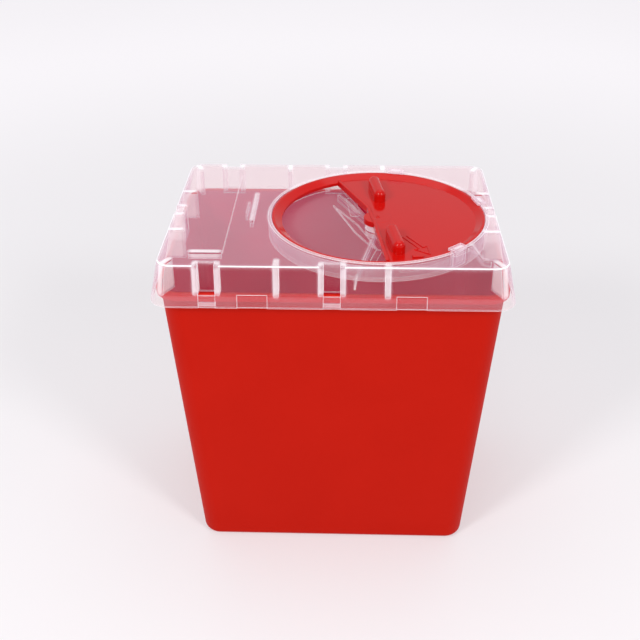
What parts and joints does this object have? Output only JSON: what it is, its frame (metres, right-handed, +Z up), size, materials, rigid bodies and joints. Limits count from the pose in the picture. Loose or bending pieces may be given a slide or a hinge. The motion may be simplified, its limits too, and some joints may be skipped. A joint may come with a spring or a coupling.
{
  "type": "sharps container",
  "caption": "Tapered red rectangular bin with a press-on clear lid and a red turning rotor, held by clips, that closes the half-round drop opening.",
  "frame": {"origin": "on the ground under the middle of the container", "axes": "+Z up, +X to the right towards the rotor, the front with the offset latch pocket faces -Y"},
  "size_m": [0.2532, 0.1912, 0.262],
  "materials": {
    "red_polypropylene": "satin",
    "clear_polypropylene": "natural translucent",
    "rotor_polypropylene": "glossy"
  },
  "bodies": {
    "container": {"container": "red_polypropylene", "lid": "clear_polypropylene"},
    "rotor": {"rotor": "rotor_polypropylene"},
    "clip_back": {"rotor_clip_back": "clear_polypropylene"},
    "clip_right": {"rotor_clip_right": "clear_polypropylene"},
    "clip_front": {"rotor_clip_front": "clear_polypropylene"}
  },
  "joints": [
    {"name": "rotor_turn", "type": "hinge", "parent": "container", "child": "rotor", "pos_m": [0.0325, -0.0043, 0.25], "axis": [0, 0, 1], "range_deg": [0, 180]},
    {"name": "clip_back_flex", "type": "hinge", "parent": "container", "child": "clip_back", "pos_m": [0.04859, 0.07478, 0.2446], "axis": [-0.9799, 0.1994, 0], "range_deg": [0, 5], "stiffness_Nm_per_rad": 0.02},
    {"name": "clip_right_flex", "type": "hinge", "parent": "container", "child": "clip_right", "pos_m": [0.11027, 0.01727, 0.2446], "axis": [-0.2672, 0.9636, 0], "range_deg": [0, 5], "stiffness_Nm_per_rad": 0.02},
    {"name": "clip_front_flex", "type": "hinge", "parent": "container", "child": "clip_front", "pos_m": [0.08702, -0.0638, 0.2446], "axis": [0.7373, 0.6756, 0], "range_deg": [0, 5], "stiffness_Nm_per_rad": 0.02}
  ]
}
